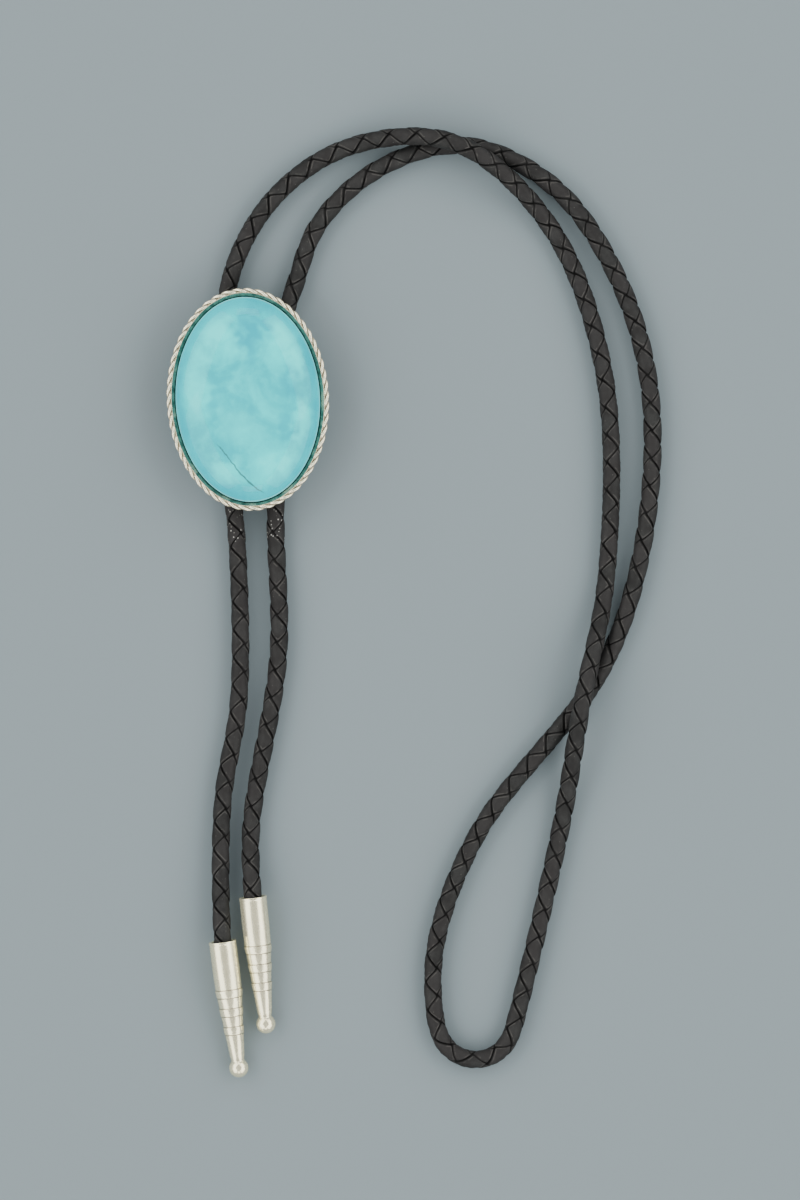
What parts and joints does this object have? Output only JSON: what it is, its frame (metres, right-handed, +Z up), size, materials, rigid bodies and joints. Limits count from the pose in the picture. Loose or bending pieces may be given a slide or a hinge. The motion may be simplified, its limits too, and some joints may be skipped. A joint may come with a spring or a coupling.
{
  "type": "bolo tie",
  "caption": "Bolo tie: a braided leather cord with metal tips, run through a clip behind an oval blue-green stone in a rope-edged setting, laid flat.",
  "frame": {"origin": "middle of the clip's flat underside, on the surface that the tie lies on, under the middle of the slide", "axes": "+Z up from the surface, +Y from the tips to the top of the slide, +X to the side that the neck loop lies on"},
  "size_m": [0.116, 0.2231, 0.0151],
  "materials": {
    "setting_metal": "polished, silver-coloured, with a twisted rope edge",
    "blue_green_stone": "polished turquoise-coloured cabochon with cloudy patches and one fine grey vein",
    "clip_metal": "plain formed sheet metal",
    "braided_leather": "matte charcoal-black leather strips in a round four-strand braid",
    "tip_metal": "polished, silver-coloured, with three raised ring bands"
  },
  "bodies": {
    "root": {"setting": "setting_metal", "stone": "blue_green_stone", "clip": "clip_metal", "cord": "braided_leather", "tip_left": "tip_metal", "tip_right": "tip_metal"}
  },
  "joints": []
}
